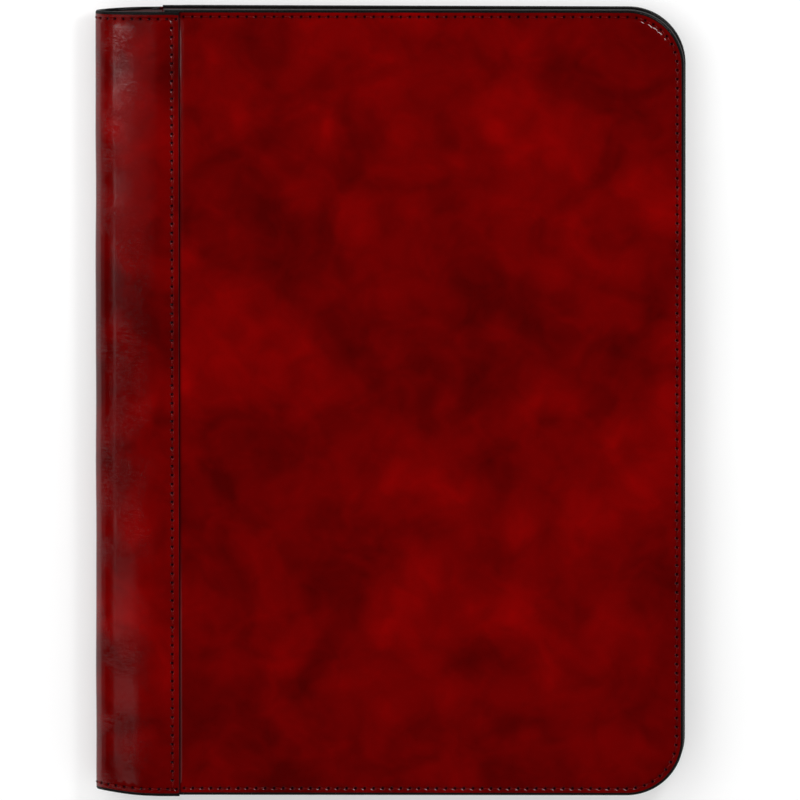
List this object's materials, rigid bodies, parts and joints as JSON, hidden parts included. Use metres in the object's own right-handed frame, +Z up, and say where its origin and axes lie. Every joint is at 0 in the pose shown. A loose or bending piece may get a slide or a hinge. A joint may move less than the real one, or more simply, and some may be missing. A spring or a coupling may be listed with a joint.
{
  "type": "portfolio case",
  "caption": "Leather portfolio case for A4 paper that opens like a book, with a rounded spine, a writing pad, a pen loop, card slots and a document pocket.",
  "frame": {"origin": "on the table below the middle of the closed case", "axes": "+X from the spine to the fore edge, +Y up the page towards the top edge, +Z up through the front cover"},
  "size_m": [0.25, 0.335, 0.025],
  "materials": {
    "red_leather": "glazed, deep red with a cloudy hand-dyed tone",
    "inner_leather": "smooth red leather with black painted edges",
    "painted_edge": "glossy black edge paint over stacked leather",
    "lining_leather": "thin dark red lining leather, matte",
    "thread": "waxed polyester thread",
    "foam": "thin felted padding",
    "board": "plain grey-brown board",
    "paper": "matte writing paper",
    "binding_tape": "woven bookbinding tape"
  },
  "bodies": {
    "back_cover": {"back_cover_leather": "red_leather", "back_edge_welt": "painted_edge", "back_padding": "foam", "back_cover_board": "board", "back_cover_lining": "lining_leather", "back_border_thread": "thread", "back_spine_seam_thread": "thread", "pad_pocket_panel": "inner_leather", "pad_pocket_welt": "inner_leather", "pen_loop": "inner_leather", "spine_wrap_back": "red_leather", "spine_lining_back": "lining_leather"},
    "spine_lower": {"spine_wrap_lower": "red_leather", "spine_lining_lower": "lining_leather"},
    "spine_upper": {"spine_wrap_upper": "red_leather", "spine_lining_upper": "lining_leather"},
    "front_cover": {"front_cover_leather": "red_leather", "front_edge_welt": "painted_edge", "front_padding": "foam", "front_cover_board": "board", "front_cover_lining": "lining_leather", "front_border_thread": "thread", "front_spine_seam_thread": "thread", "document_pocket_panel": "inner_leather", "card_slot_1": "inner_leather", "card_slot_2": "inner_leather", "card_slot_3": "inner_leather", "spine_wrap_front": "red_leather", "spine_lining_front": "lining_leather"},
    "writing_pad": {"pad_backing_board": "board", "pad_sheets": "paper", "pad_binding_tape": "binding_tape"}
  },
  "joints": [
    {"name": "spine_fold_back", "type": "hinge", "parent": "back_cover", "child": "spine_lower", "pos_m": [-0.11428, 0, 0.00233], "axis": [0, -1, 0], "range_deg": [0, 45.37]},
    {"name": "spine_fold_middle", "type": "hinge", "parent": "spine_lower", "child": "spine_upper", "pos_m": [-0.12501, 0, 0.0126], "axis": [0, -1, 0], "range_deg": [0, 90.73]},
    {"name": "spine_fold_front", "type": "hinge", "parent": "spine_upper", "child": "front_cover", "pos_m": [-0.11344, 0, 0.02301], "axis": [0, -1, 0], "range_deg": [0, 45.37]},
    {"name": "pad_slide", "type": "slide", "parent": "back_cover", "child": "writing_pad", "axis": [0, 1, 0], "range_m": [0, 0.19]}
  ],
  "couplings": [
    {"joint": "spine_fold_middle", "follows": "spine_fold_back", "ratio": 2},
    {"joint": "spine_fold_front", "follows": "spine_fold_back", "ratio": 1}
  ]
}
